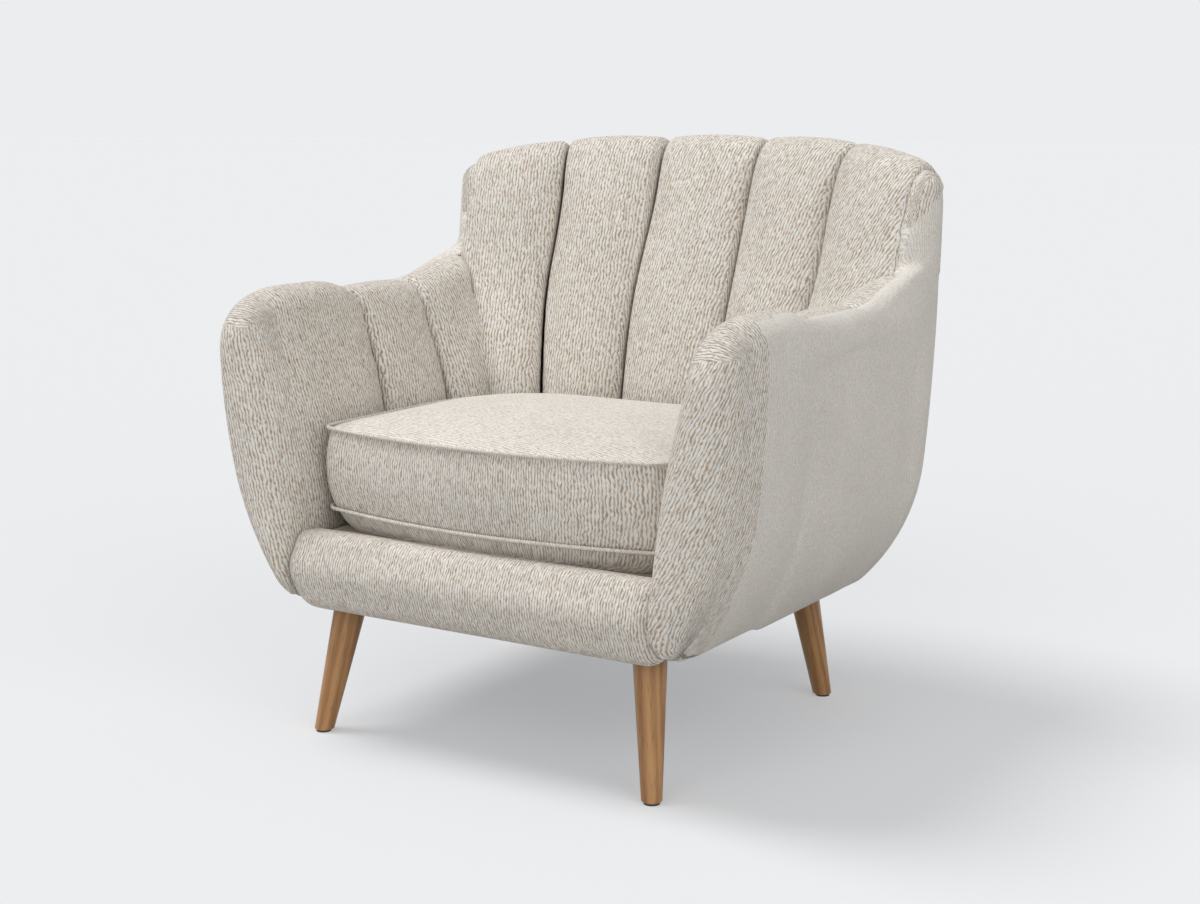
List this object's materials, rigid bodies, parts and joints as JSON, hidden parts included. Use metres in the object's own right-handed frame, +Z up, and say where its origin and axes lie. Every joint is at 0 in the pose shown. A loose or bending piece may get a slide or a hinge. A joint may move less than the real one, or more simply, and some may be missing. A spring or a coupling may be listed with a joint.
{
  "type": "channel back armchair",
  "caption": "Low tub armchair with a channelled curved back, padded rolled arms, a loose piped box cushion and splayed turned wooden legs.",
  "frame": {"origin": "bottom centre of the bounding box, on the floor", "axes": "+Z up; the front of the seat faces -Y; +X is the right-hand side seen from the front"},
  "size_m": [0.8662, 0.8019, 0.8637],
  "materials": {
    "upholstery": "cream ribbed upholstery cloth",
    "leg_wood": "satin oak",
    "frame_timber": "raw planed timber",
    "spring_steel": "dark drawn wire",
    "webbing": "woven elastic webbing",
    "foam": "cut foam",
    "lining": "black non-woven lining",
    "plated_steel": "zinc plated",
    "glide_plastic": "matte",
    "zip_tape": "woven tape with nylon teeth",
    "zip_metal": "cast metal"
  },
  "bodies": {
    "chair": {"back_channel_1": "upholstery", "back_channel_2": "upholstery", "back_channel_3": "upholstery", "back_channel_4": "upholstery", "back_channel_5": "upholstery", "back_tack_rail": "frame_timber", "back_top_rail": "frame_timber", "back_webbing": "webbing", "corner_blocks": "frame_timber", "dust_cover": "lining", "foot_glides": "glide_plastic", "frame_screws": "plated_steel", "front_border": "upholstery", "front_left_leg": "leg_wood", "front_rail": "frame_timber", "front_right_leg": "leg_wood", "left_arm_channel_front": "upholstery", "left_arm_channel_rear": "upholstery", "left_arm_rail": "frame_timber", "left_arm_roll": "upholstery", "left_back_post": "frame_timber", "left_front_arm_board": "frame_timber", "left_outside_arm": "upholstery", "left_rear_arm_board": "frame_timber", "left_side_rail": "frame_timber", "left_wing_panel": "upholstery", "leg_bolts": "plated_steel", "leg_inserts": "plated_steel", "outside_back": "upholstery", "rear_left_leg": "leg_wood", "rear_rail": "frame_timber", "rear_right_leg": "leg_wood", "right_arm_channel_front": "upholstery", "right_arm_channel_rear": "upholstery", "right_arm_rail": "frame_timber", "right_arm_roll": "upholstery", "right_back_post": "frame_timber", "right_front_arm_board": "frame_timber", "right_outside_arm": "upholstery", "right_rear_arm_board": "frame_timber", "right_side_rail": "frame_timber", "right_wing_panel": "upholstery", "seat_deck": "foam", "seat_springs": "spring_steel", "spring_clips": "spring_steel"},
    "cushion": {"cushion_cover": "upholstery", "cushion_foam": "foam", "cushion_piping_top": "upholstery", "cushion_piping_bottom": "upholstery", "zip_tape": "zip_tape"},
    "zip_slider": {"zip_slider": "zip_metal"}
  },
  "joints": [
    {"name": "cushion_lift", "type": "slide", "parent": "chair", "child": "cushion", "axis": [0, 0, 1], "range_m": [0, 0.58]},
    {"name": "zip_slide", "type": "slide", "parent": "cushion", "child": "zip_slider", "axis": [-1, 0, 0], "range_m": [0, 0.168]}
  ]
}
